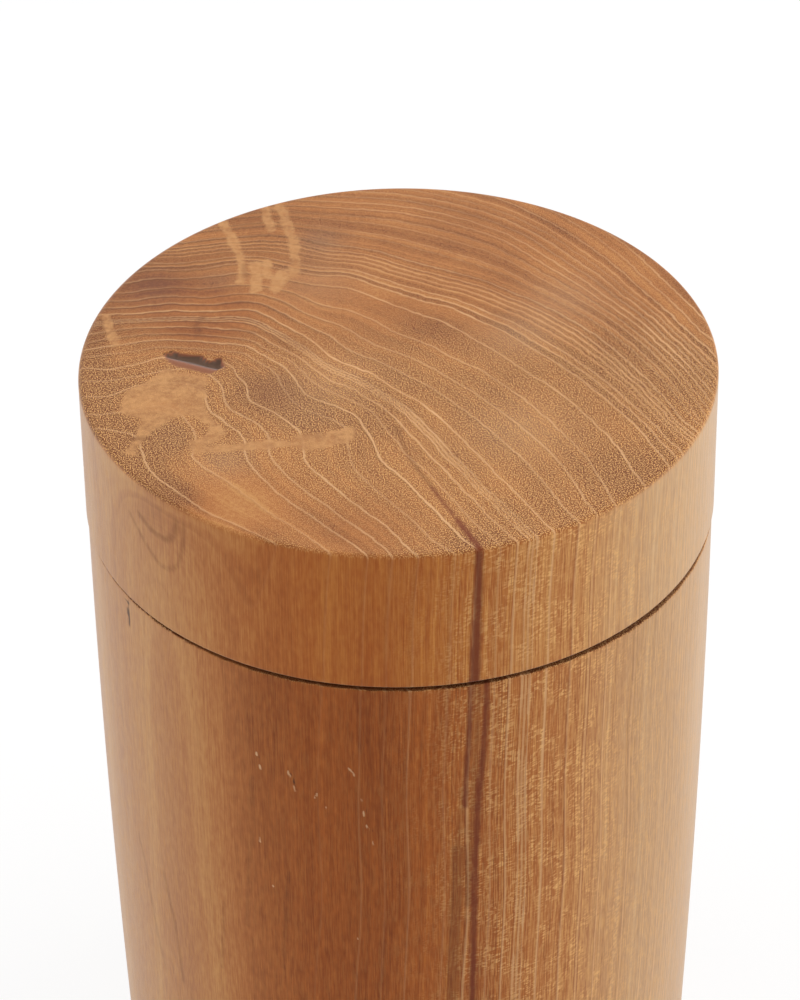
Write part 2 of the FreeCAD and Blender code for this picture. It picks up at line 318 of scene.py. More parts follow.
PATCHES = (
    Patch((-30, -45), 12, 1.0, 0, -0.9, -0.3),
    Patch((-8, -54), 11, 0.4, 0, -0.7, -0.2),
    Patch((16, -40), 9, 0.25),
    Patch((-42, -23), 5, -0.6, 0.1),
    Patch((-32, -31), 5, -0.4, 0.4),
    Patch((-24, -9), 6, -0.85, 0.1, -0.4),
    Patch((-17, -17), 6, -0.6, 0.1),
    Patch((-5, -20), 6, -0.35),
    Patch((-47, 25), 7, -0.65, 0.2, -0.3),
    Patch((-34, 28), 4, -0.4, 0.2),
    Patch((-37, 14), 9, 0.0, 0.0, -0.8),
    Patch((-15, 41), 5, -0.4, 0.35),
    Patch((-16, 27), 8, 0.1, 0.3),
    Patch((3, 47), 14, -0.2),
    Patch((50, 2), 14, -0.4),
    Patch((-12, -6), 8, 0.1, 0.3),
    Patch((23, 8), 7, 0.1, 0.45),
    Patch((22, -22), 9, 0.05, 0.4),
    Patch((32, 20), 8, 0.1, 0.4),
    Patch((8, 12), 6, -0.35),
    Patch((-57, -4), 5, -0.5),
    Patch((-55, -20), 5, -0.7),
    Patch((-48, -33), 5, -0.7),
    Patch((-42, -41), 4, -0.5),
    Patch((42, -36), 8, -0.65),
    Patch((30, 48), 8, -0.3),
    Patch((12, -56), 4, -0.5),
    Patch((-52, 32), 7, -0.3),
)


@dataclass(frozen=True)
class SideWood:
    """The side grain at one azimuth, in degrees from the front towards the right.

    It tells how much paler the wood is, its age from deep heartwood at -1 to sapwood at 1, how grey it
    is with grey wood and painted sheen, and how much its pale lines, ray flecks and pores show.
    """

    azimuth: float
    lift: float
    age: float
    ash_and_sheen: float
    lines: float
    rays: float
    specks: float


# Grey towards the left and right edges is partly painted sheen at a low angle.
SIDES = (
    SideWood(-180, 0.1, 0.0, 0.10, 0.2, 0.1, 0.2),
    SideWood(-100, 0.5, 0.0, 0.80, 0.0, 0.0, 0.15),
    SideWood(-64, 0.45, 0.0, 0.85, 0.0, 0.0, 0.15),
    SideWood(-48, -0.02, 0.0, 0.50, 0.0, 0.0, 0.1),
    SideWood(-38, 0.12, -0.1, 0.15, 0.0, 0.0, 0.08),
    SideWood(-26, 0.3, -0.5, 0.0, 0.05, 0.0, 0.06),
    SideWood(-16, 0.2, -0.9, 0.0, 0.1, 0.0, 0.06),
    SideWood(-6, 0.2, -0.95, 0.0, 0.12, 0.0, 0.06),
    SideWood(4, 0.32, -0.95, 0.0, 0.2, 0.15, 0.1),
    SideWood(10, 0.26, -0.8, 0.0, 0.4, 0.5, 0.2),
    SideWood(16, 0.26, -0.65, 0.0, 0.75, 0.8, 0.25),
    SideWood(24, 0.36, -0.38, 0.0, 0.8, 1.0, 0.25),
    SideWood(32, 0.36, 0.0, 0.0, 0.8, 0.9, 0.25),
    SideWood(40, 0.3, 0.55, 0.0, 0.7, 0.6, 0.25),
    SideWood(50, 0.42, 0.95, 0.2, 0.5, 0.3, 0.25),
    SideWood(64, 0.4, 1.0, 0.35, 0.3, 0.1, 0.25),
    SideWood(90, 0.4, 1.0, 0.35, 0.2, 0.0, 0.25),
    SideWood(130, 0.3, 0.6, 0.0, 0.3, 0.0, 0.2),
    SideWood(180, 0.1, 0.0, 0.10, 0.2, 0.1, 0.2),
)


class LogFigure:
    """The grain of the log that both pieces were turned from, as coordinates for any point in it."""

    # Middle of the fan of wood rays, a little outside the front of the jar.
    RAY_CENTRE: ClassVar[Point] = (-26.0, -71.0)
    # How far the ring surface may pass from the listed points, which keeps it smooth.
    SLACK: ClassVar[float] = 8.0
    # Step for measuring how fast the ring number changes, and the least of it that counts as shown.
    STEP: ClassVar[float] = 0.25
    LEAST_SHOWN: ClassVar[float] = 0.15
    # Ring numbers of the first pale line and past the last one, well outside the log that was used.
    FIRST_LINE: ClassVar[float] = -12.0
    PAST_LINES: ClassVar[float] = 50.0
    # How far the rings lean for each millimetre down, and how far and over what depth they meander.
    LEAN: ClassVar[float] = 0.03
    LONG_MEANDER: ClassVar[Point] = (0.5, 21.0)
    SHORT_MEANDER: ClassVar[Point] = (0.2, 7.3)
    SWAY: ClassVar[Point] = (0.3, 26.0)
    # Arches on the flat-sawn side: rings they rise by, depth they take, and their azimuth and spread.
    ARCH_RISE: ClassVar[float] = 1.5
    ARCH_DEPTH: ClassVar[float] = 9.0
    ARCH_AZIMUTH: ClassVar[float] = -48.0
    ARCH_SPREAD: ClassVar[float] = 14.0

    def __init__(self) -> None:
        """Fits the ring surface and sets out the pale lines.

        The surface is a thin plate bent to the ring numbers at the points: a load at each of them and an
        even slope, from one linear system with the slack on its diagonal.
        """
        self.knots = np.array([p for points in RING_LINES.values() for p in points], float)
        values = np.array([ring for ring, points in RING_LINES.items() for _ in points], float)
        count = len(values)
        plate = self.plate(self.knots) + self.SLACK * np.eye(count)
        tilt = np.column_stack([np.ones(count), self.knots])
        system = np.block([[plate, tilt], [tilt.T, np.zeros((3, 3))]])
        solved = np.linalg.solve(system, np.concatenate([values, np.zeros(3)]))
        self.bends, self.slope = solved[:count], solved[count:]
        whole_lines = np.arange(self.FIRST_LINE, self.PAST_LINES)
        self.lines = np.sort(np.concatenate([whole_lines, CLOSE_LINES]))

    def plate(self, points: np.ndarray) -> np.ndarray:
        """How a thin plate bends at points under a load at each knot: r squared times the log of r."""
        square = ((points[:, None, :] - self.knots[None, :, :]) ** 2).sum(axis=2)
        return 0.5 * square * np.log(square + 1e-9)

    def ring(self, points: np.ndarray) -> np.ndarray:
        """Ring number at points in the log.

        On the lid's top it is the plate's bends and an even slope, summed. Below it the rings lean a
        little to the left and meander by under a millimetre, and on the flat-sawn left side they lean
        outwards near the knot, which draws arches there.

        Args:
            points: rows of (right, behind, height).

        Returns:
            Ring numbers, whole at the pale lines.
        """
        depth = LID_TOP - points[:, 2]
        bends = (self.LONG_MEANDER, self.SHORT_MEANDER, self.SWAY)
        meander, small, sway = [far * np.sin(depth / reach) for far, reach in bends]
        place = points[:, :2] + np.column_stack([self.LEAN * depth + meander + small, sway])
        azimuth = np.degrees(np.arctan2(points[:, 0], -points[:, 1]))
        risen = 1 - np.exp(-np.clip(depth, 0, None) / self.ARCH_DEPTH)
        arch = self.ARCH_RISE * risen * np.exp(-((azimuth - self.ARCH_AZIMUTH) / self.ARCH_SPREAD) ** 2)
        return self.plate(place) @ self.bends + self.slope[0] + place @ self.slope[1:] + arch

    def grain(self, points: np.ndarray, normals: np.ndarray) -> tuple[np.ndarray, np.ndarray]:
        """Grain coordinates of points on the surface of a piece.

        Args:
            points: rows of (right, behind, height).
            normals: the surface's directions there.

        Returns:
            Rows of (line number, distance from the ray centre, place along the ring), and the width
            between lines as it shows on the surface.
        """
        ring = self.ring(points)
        steps = self.STEP * np.eye(3)
        rise = np.column_stack([self.ring(points + step) - ring for step in steps]) / self.STEP
        whole = np.linalg.norm(rise, axis=1)
        shown = np.linalg.norm(rise - (rise * normals).sum(axis=1)[:, None] * normals, axis=1)
        shown = np.maximum(shown, self.LEAST_SHOWN * whole)
        line = np.interp(ring, self.lines, np.arange(len(self.lines)))
        number = np.clip(np.searchsorted(self.lines, ring), 1, len(self.lines) - 1)
        gap = self.lines[number] - self.lines[number - 1]
        away = points[:, :2] - np.array(self.RAY_CENTRE)
        reach = np.hypot(away[:, 0], away[:, 1])
        along = np.arctan2(away[:, 0], away[:, 1]) * math.hypot(*self.RAY_CENTRE)
        return np.column_stack([line, reach, along]), gap / shown

    @staticmethod
    def end_looks(points: np.ndarray) -> np.ndarray:
        """How end grain looks: zones that change slowly across the lid's top, and soft patches on them.

        The pores show most in front and the bands most behind, dark late wood shows at the back left, and
        the left rim is darker. Each patch falls off as the bell curve of its spread.

        Args:
            points: rows of (right, behind, height).

        Returns:
            Rows of (lift, age, ash, lines, rays, specks, late wood, bands, strands).
        """
        x, y = points[:, 0], points[:, 1]
        none = np.zeros(len(points))
        azimuth = np.degrees(np.arctan2(x, -y))
        left_rim = ease(52, 58, np.hypot(x, y)) * ease(-30, -45, azimuth) * ease(-120, -95, azimuth)
        specks = 0.3 + 0.7 * ease(22, -8, y)
        # The wood under the pale pores is darker, so that the two together keep one tone.
        lift, ash_and_sheen = -0.63 * specks - 0.7 * left_rim, none.copy()
        lines = 0.55 + 0.4 * ease(40, 5, y) - 0.25 * ease(-5, -25, x) - 0.15 * ease(5, 30, x + y)
        for patch in PATCHES:
            away = (x - patch.centre[0]) ** 2 + (y - patch.centre[1]) ** 2
            bell = np.exp(-away / patch.spread ** 2)
            lift += patch.lift * bell
            ash_and_sheen += patch.ash_and_sheen * bell
            specks += patch.specks * bell
            lines += patch.lines * bell
        late = 0.12 + 0.6 * ease(-5, -25, x) * ease(0, 10, y)
        bands = 0.45 + 0.48 * ease(-5, 25, y + 0.3 * x)
        strands = np.full(len(points), 0.3)
        specks = np.clip(specks, 0, 1)
        return np.column_stack([lift, none, ash_and_sheen, lines, none, specks, late, bands, strands])

    @staticmethod
    def side_looks(azimuth: np.ndarray) -> np.ndarray:
        """How side grain looks, in the same rows as end grain.

        The looks of the side wood are drawn straight from one azimuth to the next. Strands show most to
        the right of the streak, where the cut runs along the rays, and bands most on the flat-sawn left.

        Args:
            azimuth: degrees from the front towards the right.

        Returns:
            Rows of (lift, age, ash, lines, rays, specks, late wood, bands, strands).
        """
        names = ("lift", "age", "ash_and_sheen", "lines", "rays", "specks")
        places = [side.azimuth for side in SIDES]
        looks = [np.interp(azimuth, places, [getattr(side, name) for side in SIDES]) for name in names]
        late = 0.05 + 0.1 * ease(-20, 15, azimuth)
        bands = 0.2 + 0.22 * ease(-8, -32, azimuth) * ease(-100, -70, azimuth)
        along_rays = ease(-10, 20, azimuth) * ease(70, 35, azimuth)
        strands = 0.2 + 0.7 * along_rays + 0.2 * ease(30, 60, azimuth)
        return np.column_stack([*looks, late, bands, strands])


@dataclass(frozen=True)
class OiledTeak:
    """Teak, turned, sanded and oiled.

    The eye sees golden brown wood with thin pale lines where each year's growth starts, pale pores as
    specks on the end grain and as fine upright dashes on the sides, short level ray flecks where the cut
    runs along the rays, and a soft satin sheen at a low angle.
    """

    slot: ClassVar[str] = "oiled_teak"
    # Wood from the darkest to the palest, and how far along that scale each colour stands.
    scale: tuple[tuple[float, str], ...] = ((0.0, "733a1a"), (0.5, "b06e3b"), (1.0, "d49f60"))
    sapwood_scale: tuple[tuple[float, str], ...] = ((0.0, "9c7044"), (0.5, "b88f65"), (1.0, "cfab80"))
    # What deep heartwood keeps of each colour, and the colours that lie over the wood.
    heart: str = "ffdcaa"
    line: str = "e0b07e"
    pore: str = "e8b372"
    late_wood: str = "6f3f20"
    # Grey that lies over the wood: partly grey wood, partly painted sheen.
    ash_and_sheen: str = "bba286"
    callus: str = "cc9660"
    # Torn grain: paler fibres with a painted highlight where they catch the light.
    torn: str = "dfb488"
    bark: str = "4a2e1f"
    streak: str = "74321a"
    # Painted shade for the seam between jar and lid, on the rim's rubbed edge.
    seam_shade: str = "4a2817"
    # The knot's hole, dark with bark and painted shade, from its lit lip to its floor.
    hole_bark_and_shade_scale: tuple[tuple[float, str], ...] = ((0.0, "b47c50"), (0.45, "8c543a"), (0.95, "664e3f"))
    # Breadth, length along the grain and detail of clouds, wandering growth, pores, fibres, ragged grain
    # and clusters of flecks. Pores of teak measure 0.1 to 0.3 mm.
    features: tuple[tuple[float, float, float], ...] = (
        (15, 130, 2.0), (2.4, 40, 2.0), (0.22, 4.0, 0.0), (0.18, 16, 1.0), (0.9, 2.5, 2.0), (4, 7, 1.0))
    # Ray flecks of teak are 0.1 to 0.2 mm thick, drawn coarser so that they show.
    ray_thickness: float = 0.5
    ray_height: float = 0.42
    ray_length: float = 1.0
    # How steeply the flecks climb towards the right.
    ray_climb: float = 0.15
    # How far from its middle a pale line starts to show and is full, and the same for the late wood.
    line_edge: Point = (0.32, 0.08)
    late_edge: Point = (1.1, 0.2)
    # Strength of the weakest and the strongest pale line, and what a line keeps where it fades.
    line_strengths: Point = (0.4, 0.95)
    faded_line: float = 0.6
    # How far growth wobbles to and fro, and bands and strands to a ring.
    wobble: float = 0.9
    bands_to_ring: float = 1.1
    strands_to_ring: float = 7.0
    # How much clouds, fibres and ragged grain change the tone.
    cloud_share: float = 0.5
    fibre_share: float = 0.45
    ragged_share: float = 0.4
    # Levels of the noise between which pores and flecks come in, and how much they cover.
    pore_levels: Point = (0.52, 0.60)
    pore_cover: float = 0.95
    fleck_levels: Point = (0.48, 0.62)
    fleck_cover: float = 0.8
    # How much of the flecks shows between their clusters and between their upright columns.
    between_clusters: float = 0.15
    between_columns: float = 0.3
    # Levels between which plain wood mottles the healed wood, and how much it does.
    mottle_levels: Point = (0.8, 1.25)
    mottle_cover: float = 0.55
    # How ragged the marks' edges are: all by the ragged grain, healed wood also by the wobble of growth.
    thin_rag: float = 0.5
    wide_rag: float = 2.0
    # How much grey wood with painted sheen covers, and how much the painted shade in the seam covers.
    ash_and_sheen_cover: float = 0.4
    seam_shade_cover: float = 0.85
    # Oil leaves a satin gloss, duller in the open pores, and fibres that glow at a low angle.
    roughness: float = 0.46
    pore_roughness: float = 0.12
    ior: float = 1.47
    gloss: float = 0.14
    sheen: float = 0.4
    sheen_roughness: float = 0.3
    # Strength and depth of the relief, in which fibres rise and pores sink by these shares.
    relief: float = 0.25
    relief_depth: float = 0.1
    fibre_rise: float = 0.5
    pore_sink: float = 0.6

    def material(self) -> bpy.types.Material:
        """Builds the wood's node tree on the grain attributes of the pieces.

        Returns:
            The finished material.
        """
        made = bpy.data.materials.new(self.slot)
        add = NodeBoard(made).add
        soft = {"interpolation_type": "SMOOTHSTEP"}
        names = ("grain", "figure", "tone_and_sheen", "cover", "marks", "scars", "wear")
        vectors = [add("Attribute", out="Vector", attribute_name=name) for name in names]
        parts = [add("SeparateXYZ", vector, out=(0, 1, 2)) for vector in vectors]
        (line, reach, along), (width, line_show, late_show), (lift, age, ash_and_sheen) = parts[:3]
        (speck_show, ray_show, band_show), (callus, bark, streak), (hole, late_mark, torn) = parts[3:6]
        # The wear attribute's second value is the painted shade in the seam under the lid.
        strand_show, seam_shade_mask = parts[6][:2]
        place = add("TexCoord", out="Object")
        height = add("SeparateXYZ", place, out=2)
        # Noise in object coordinates, one for each breadth and length.
        scales = [(1 / (b * MM), 1 / (b * MM), 1 / (l * MM)) for b, l, _ in self.features]
        cloud, wander, speck, fibre, ragged, cluster = [
            add("TexNoise", add("Mapping", place, None, None, scale), None, 1.0, detail)
            for scale, (_, _, detail) in zip(scales, self.features)]

        # Ring lines: how far each point lies from the nearest pale line, with the wobble of real growth.
        wobble = add("Math", wander, 0.5, operation="SUBTRACT")
        wobble = add("Math", wobble, self.wobble, operation="MULTIPLY")
        step = add("Math", line, add("Math", wobble, width, operation="DIVIDE"), operation="ADD")
        share = add("Math", step, operation="FRACT")
        before = add("Math", 1.0, share, operation="SUBTRACT")
        to_line = add("Math", share, before, operation="MINIMUM")
        from_line = add("Math", to_line, width, operation="MULTIPLY")
        # Each line has its own strength, and fades here and there.
        chance = add("TexWhiteNoise", None, add("Math", step, operation="ROUND"), noise_dimensions="1D")
        fade = add("MapRange", cloud, 0.38, 0.6, self.faded_line, 1.0, **soft)
        strength = add("MapRange", chance, 0.0, 0.7, *self.line_strengths)
        strength = add("Math", strength, fade, operation="MULTIPLY")
        strength = add("Math", strength, line_show, operation="MULTIPLY")
        near_line = add("MapRange", from_line, *self.line_edge, 0.0, 1.0, **soft)
        pale_line = add("Math", near_line, strength, operation="MULTIPLY")
        # Dark late wood ends each ring.
        to_end = add("Math", before, width, operation="MULTIPLY")
        late = add("MapRange", to_end, *self.late_edge, 0.0, 1.0, **soft)
        late = add("Math", late, late_show, operation="MULTIPLY")

        # Tone of plain wood: bands and strands that follow the rings, clouds, fibres and ragged grain.
        bands = add("TexNoise", None, step, self.bands_to_ring, 2.0, noise_dimensions="1D")
        strands = add("TexNoise", None, step, self.strands_to_ring, 3.0, noise_dimensions="1D")
        tone = add("Math", lift, 0.5, 0.5, operation="MULTIPLY_ADD")
        sources = ((bands, band_show), (strands, strand_show), (cloud, self.cloud_share),
                   (fibre, self.fibre_share), (ragged, self.ragged_share))
        for source, share_of_tone in sources:
            centred = add("Math", source, 0.5, operation="SUBTRACT")
            tone = add("Math", centred, share_of_tone, tone, operation="MULTIPLY_ADD")
        ramps = [add("ValToRGB", amount, out=None) for amount in (tone, tone, hole)]
        for ramp, scale in zip(ramps, (self.scale, self.sapwood_scale, self.hole_bark_and_shade_scale)):
            stops = ramp.color_ramp.elements
            stops.new(scale[1][0])
            for stop, (position, code) in zip(stops, scale):
                stop.position = position
                stop.color = linear_colour(code)
        wood, sapwood, hole_bark_and_shade = [ramp.outputs[0] for ramp in ramps]
        hearted = add("MapRange", age, 0.0, -1.0, 0.0, 1.0)
        sapped = add("MapRange", age, 0.0, 1.0, 0.0, 1.0)
        # Grey over the wood is partly grey wood and partly painted sheen.
        greyed = add("Math", ash_and_sheen, self.ash_and_sheen_cover, operation="MULTIPLY")
        colour = add("MixRGB", hearted, wood, linear_colour(self.heart), blend_type="MULTIPLY")
        colour = add("MixRGB", sapped, colour, sapwood)
        colour = add("MixRGB", greyed, colour, linear_colour(self.ash_and_sheen))
        colour = add("MixRGB", late, colour, linear_colour(self.late_wood))

        # Pores, ray flecks that stand in clusters and upright columns, and the pale lines over it.
        pores = add("MapRange", speck, *self.pore_levels, 0.0, 1.0, **soft)
        specks = add("Math", pores, speck_show, operation="MULTIPLY")
        specks = add("Math", specks, self.pore_cover, operation="MULTIPLY")
        level = add("Math", height, MM, operation="DIVIDE")
        level = add("Math", reach, -self.ray_climb, level, operation="MULTIPLY_ADD")
        ray_place = add("CombineXYZ",
                        add("Math", reach, self.ray_length, operation="DIVIDE"),
                        add("Math", along, self.ray_thickness, operation="DIVIDE"),
                        add("Math", level, self.ray_height, operation="DIVIDE"))
        ray_noise = add("TexNoise", ray_place, None, 1.0, 0.0)
        flecks = add("MapRange", ray_noise, *self.fleck_levels, 0.0, self.fleck_cover, **soft)
        clusters = add("MapRange", cluster, 0.4, 0.6, self.between_clusters, 1.0, **soft)
        columns = add("MapRange", strands, 0.4, 0.6, self.between_columns, 1.0, **soft)
        for show in (clusters, columns, ray_show):
            flecks = add("Math", flecks, show, operation="MULTIPLY")
        for cover, code in ((specks, self.pore), (flecks, self.pore), (pale_line, self.line)):
            colour = add("MixRGB", cover, colour, linear_colour(code))

        # Healed wood, cut late wood, the streak, bark and torn grain, each with a ragged edge that starts
        # and ends at the two distances given and covers at most the share given.
        thin_rag = add("Math", ragged, 0.5, operation="SUBTRACT")
        thin_rag = add("Math", thin_rag, self.thin_rag, operation="MULTIPLY")
        rag = add("Math", wobble, self.wide_rag, thin_rag, operation="MULTIPLY_ADD")
        mottle = add("Math", wander, ragged, operation="ADD")
        mottle = add("MapRange", mottle, *self.mottle_levels, 0.0, self.mottle_cover)
        healed_tone = add("MixRGB", mottle, linear_colour(self.callus), wood)
        covers = (
            (callus, rag, 0.5, -0.45, 0.85, healed_tone),
            (late_mark, thin_rag, 0.8, -0.5, 0.45, linear_colour(self.late_wood)),
            (streak, thin_rag, 0.75, -0.4, 0.9, linear_colour(self.streak)),
            (bark, thin_rag, 0.15, -0.2, 0.9, linear_colour(self.bark)),
            (torn, thin_rag, 0.16, -0.12, 0.9, linear_colour(self.torn)),
        )
        for distance, roughened, outer, inner, strongest, cover in covers:
            edge = add("Math", distance, roughened, operation="ADD")
            share = add("MapRange", edge, outer, inner, 0.0, strongest, **soft)
            colour = add("MixRGB", share, colour, cover)
        # Painted shade in the seam on the rim's rubbed edge, and the hole of the knot, lie over all of
        # it.
        seam_shade = add("Math", seam_shade_mask, self.seam_shade_cover, operation="MULTIPLY")
        colour = add("MixRGB", seam_shade, colour, linear_colour(self.seam_shade))
        # The hole's colour is its bark with painted shade, darkest at its back.
        colour = add("MixRGB", add("MapRange", hole, 0.05, 0.3, 0.0, 1.0), colour, hole_bark_and_shade)

        # Satin surface with fine relief.
        fuzz = add("Math", fibre, self.fibre_rise, operation="MULTIPLY")
        relief = add("Math", pores, -self.pore_sink, fuzz, operation="MULTIPLY_ADD")
        rough = add("Math", pores, self.pore_roughness, self.roughness, operation="MULTIPLY_ADD")
        bump = {"Height": relief, "Strength": self.relief, "Distance": self.relief_depth * MM}
        shader = add("BsdfPrincipled", {
            "Base Color": colour,
            "Roughness": rough,
            "IOR": self.ior,
            "Specular IOR Level": self.gloss,
            "Sheen Weight": self.sheen,
            "Sheen Roughness": self.sheen_roughness,
            "Normal": add("Bump", bump),
        })
        add("OutputMaterial", shader)
        return made


@dataclass
class TurnedPiece:
    """A piece turned on the lathe: a half-section carried round the axis."""

    name: str
    columns: int
    # Azimuths that get closer columns, with the spread of each in degrees and how much closer they come.
    focus: tuple[tuple[float, float, float], ...]
    # Places round the axis at which the columns' density is summed.
    DENSITY_PLACES: ClassVar[int] = 20001
    # How fast marks on a side fade for each millimetre in from it, and marks on the top below it.
    INWARD_FADE: ClassVar[float] = 2.0
    DOWNWARD_FADE: ClassVar[float] = 0.5

    def azimuths(self) -> np.ndarray:
        """Azimuths of the columns, from the front towards the right, closer together at each focus.

        The gap between columns is the inverse of a density of 1 plus a bell curve at each focus, and the
        azimuths are where the summed density passes equal shares of its total.

        Returns:
            Radians from just over half a turn on the left to half a turn on the right.
        """
        fine = np.linspace(-180, 180, self.DENSITY_PLACES)
        bells = [gain * np.exp(-((fine - centre) / spread) ** 2) for centre, spread, gain in self.focus]
        density = 1 + sum(bells)
        total = np.concatenate([[0], np.cumsum((density[1:] + density[:-1]) / 2)])
        shares = np.arange(1, self.columns + 1) / self.columns * total[-1]
        return np.radians(np.interp(shares, total, fine))

    def section(self, azimuth: np.ndarray) -> tuple[np.ndarray, np.ndarray]:
        """Half-section from the pole of an upward face to the other pole, as radii and heights."""
        raise NotImplementedError

    def distance(self, points: np.ndarray, *kinds: Mark) -> np.ndarray:
        """Signed distance of points to the nearest mark of the kinds asked for."""
        raise NotImplementedError

    def hole_looks(self, points: np.ndarray) -> np.ndarray:
        """How strongly bark and painted shade darken points in an open hole, from 0 outside it to 1."""
        return np.zeros(len(points))

    def seam_shade_looks(self, points: np.ndarray, azimuth: np.ndarray) -> np.ndarray:
        """How strongly painted shade covers points in a seam, from 0 off it to 1."""
        return np.zeros(len(points))

    def shade(self, azimuth: np.ndarray) -> np.ndarray:
        """How much darker this piece's side is than the other's, at azimuths in degrees."""
        return np.zeros_like(azimuth)

    def build(self, log: LogFigure, finish: bpy.types.Material) -> bpy.types.Object:
        """Turns the half-section into a closed mesh that carries the log's grain.

        A point of the surface is the section's radius times the sine and cosine of its azimuth, and the
        section's height. The first and last rows are poles of one vertex each.

        Args:
            log: the figure of the log.
            finish: the material.

        Returns:
            The new object, in metres, with its place in its mesh.
        """
        azimuth = self.azimuths()
        radius, height = self.section(azimuth)
        grid = np.stack([radius * np.sin(azimuth), -radius * np.cos(azimuth), height], axis=2)
        points = np.concatenate([grid[0, :1], grid[1:-1].reshape(-1, 3), grid[-1, :1]])
        points[[0, -1], :2] = 0.0
        loops, sizes = self.faces(len(grid) - 2)
        starts = np.concatenate([[0], np.cumsum(sizes)[:-1]]).astype(np.int32)
        mesh = bpy.data.meshes.new(self.name)
        mesh.vertices.add(len(points))
        mesh.loops.add(len(loops))
        mesh.polygons.add(len(sizes))
        mesh.vertices.foreach_set("co", (points * MM).astype(np.float32).ravel())
        mesh.loops.foreach_set("vertex_index", loops)
        mesh.polygons.foreach_set("loop_start", starts)
        mesh.polygons.foreach_set("use_smooth", np.ones(len(sizes), bool))
        mesh.update(calc_edges=True)
        mesh.validate()
        self.dress(mesh, points, log)
        mesh.materials.append(finish)
        piece = bpy.data.objects.new(self.name, mesh)
        bpy.context.scene.collection.objects.link(piece)
        return piece

    def faces(self, rows: int) -> tuple[np.ndarray, np.ndarray]:
        """Corner numbers of the faces: a fan at each pole and a ring of quads between each pair of rows.

        Args:
            rows: rows of the grid between the two poles.

        Returns:
            The corners of all faces in one array, and the number of corners of each face.
        """
        here = np.arange(self.columns)
        after = (here + 1) % self.columns
        base = 1 + self.columns * np.arange(rows - 1)[:, None]
        below = base + self.columns
        quads = np.stack([base + here, below + here, below + after, base + after], axis=2)
        first_fan = np.column_stack([np.zeros(self.columns, int), 1 + here, 1 + after])
        end = 1 + self.columns * (rows - 1)
        last_fan = np.column_stack([end + here, np.full(self.columns, end + self.columns), end + after])
        loops = np.concatenate([first_fan.ravel(), quads.ravel(), last_fan.ravel()])
        sizes = np.repeat([3, 4, 3], [self.columns, quads.size // 4, self.columns])
        return loops.astype(np.int32), sizes.astype(np.int32)

    def dress(self, mesh: bpy.types.Mesh, points: np.ndarray, log: LogFigure) -> None:
        """Writes the log's grain at each vertex as the attributes that the wood reads.

        End grain and side grain are mixed by how far the surface faces up or down.

        Args:
            mesh: the piece's mesh.
            points: its vertices.
            log: the figure of the log.
        """
        normals = np.empty(3 * len(points), np.float32)
        mesh.vertex_normals.foreach_get("vector", normals)
        normals = normals.reshape(-1, 3).astype(float)
        end = np.abs(normals[:, 2])[:, None]
        grain, width = log.grain(points, normals)
        azimuth = np.degrees(np.arctan2(points[:, 0], -points[:, 1]))
        sides = log.side_looks(azimuth)
        sides[:, 0] -= self.shade(azimuth)
        looks = end * log.end_looks(points) + (1 - end) * sides
        lift, age, ash_and_sheen, lines, rays, specks, late, bands, strands = looks.T
        kinds = (Mark.CALLUS, Mark.BARK, Mark.STREAK, Mark.LATE, Mark.TORN)
        marks = [self.distance(points, kind) for kind in kinds]
        spare = np.zeros(len(points))
        layers = {
            "grain": grain,
            "figure": np.column_stack([width, lines, late]),
            # The grey in the third value is partly painted sheen.
            "tone_and_sheen": np.column_stack([lift, age, ash_and_sheen]),
            "cover": np.column_stack([specks, rays, bands]),
            "marks": np.column_stack(marks[:3]),
            "scars": np.column_stack([self.hole_looks(points), *marks[3:]]),
            # The second value of this layer is painted shade in the seam under the lid.
            "wear": np.column_stack([strands, self.seam_shade_looks(points, azimuth), spare]),
        }
        for name, values in layers.items():
            layer = mesh.attributes.new(name, "FLOAT_VECTOR", "POINT")
            layer.data.foreach_set("vector", values.astype(np.float32).ravel())


def straight(start: Spot, end: Spot, count: int) -> list[Spot]:
    """Points of a straight stretch of a section, without its first point.

    Args:
        start: radius and height where it starts.
        end: the same where it ends.
        count: how many points.

    Returns:
        A list of (radius, height) pairs.
    """
    shares = np.arange(1, count + 1) / count
    return [(start[0] + s * (end[0] - start[0]), start[1] + s * (end[1] - start[1])) for s in shares]


def rounded(centre: Spot, radius: Length, first: float, last: float, count: int) -> list[Spot]:
    """Points of an arc of a section, without its first point: the centre plus a turning radius.

    Args:
        centre: radius and height of the arc's centre.
        radius: the arc's own radius.
        first: angle in degrees where it starts, from outwards towards up.
        last: angle where it ends.
        count: how many points.

    Returns:
        A list of (radius, height) pairs.
    """
    turns = np.radians(first + (last - first) * np.arange(1, count + 1) / count)
    return [(centre[0] + radius * math.cos(t), centre[1] + radius * math.sin(t)) for t in turns]


def stacked(points: list[Spot], azimuth: np.ndarray) -> tuple[np.ndarray, np.ndarray]:
    """Spreads a section's points over the columns as one array of radii and one of heights."""
    whole = np.ones_like(azimuth)
    return np.stack([whole * r for r, _ in points]), np.stack([whole * z for _, z in points])


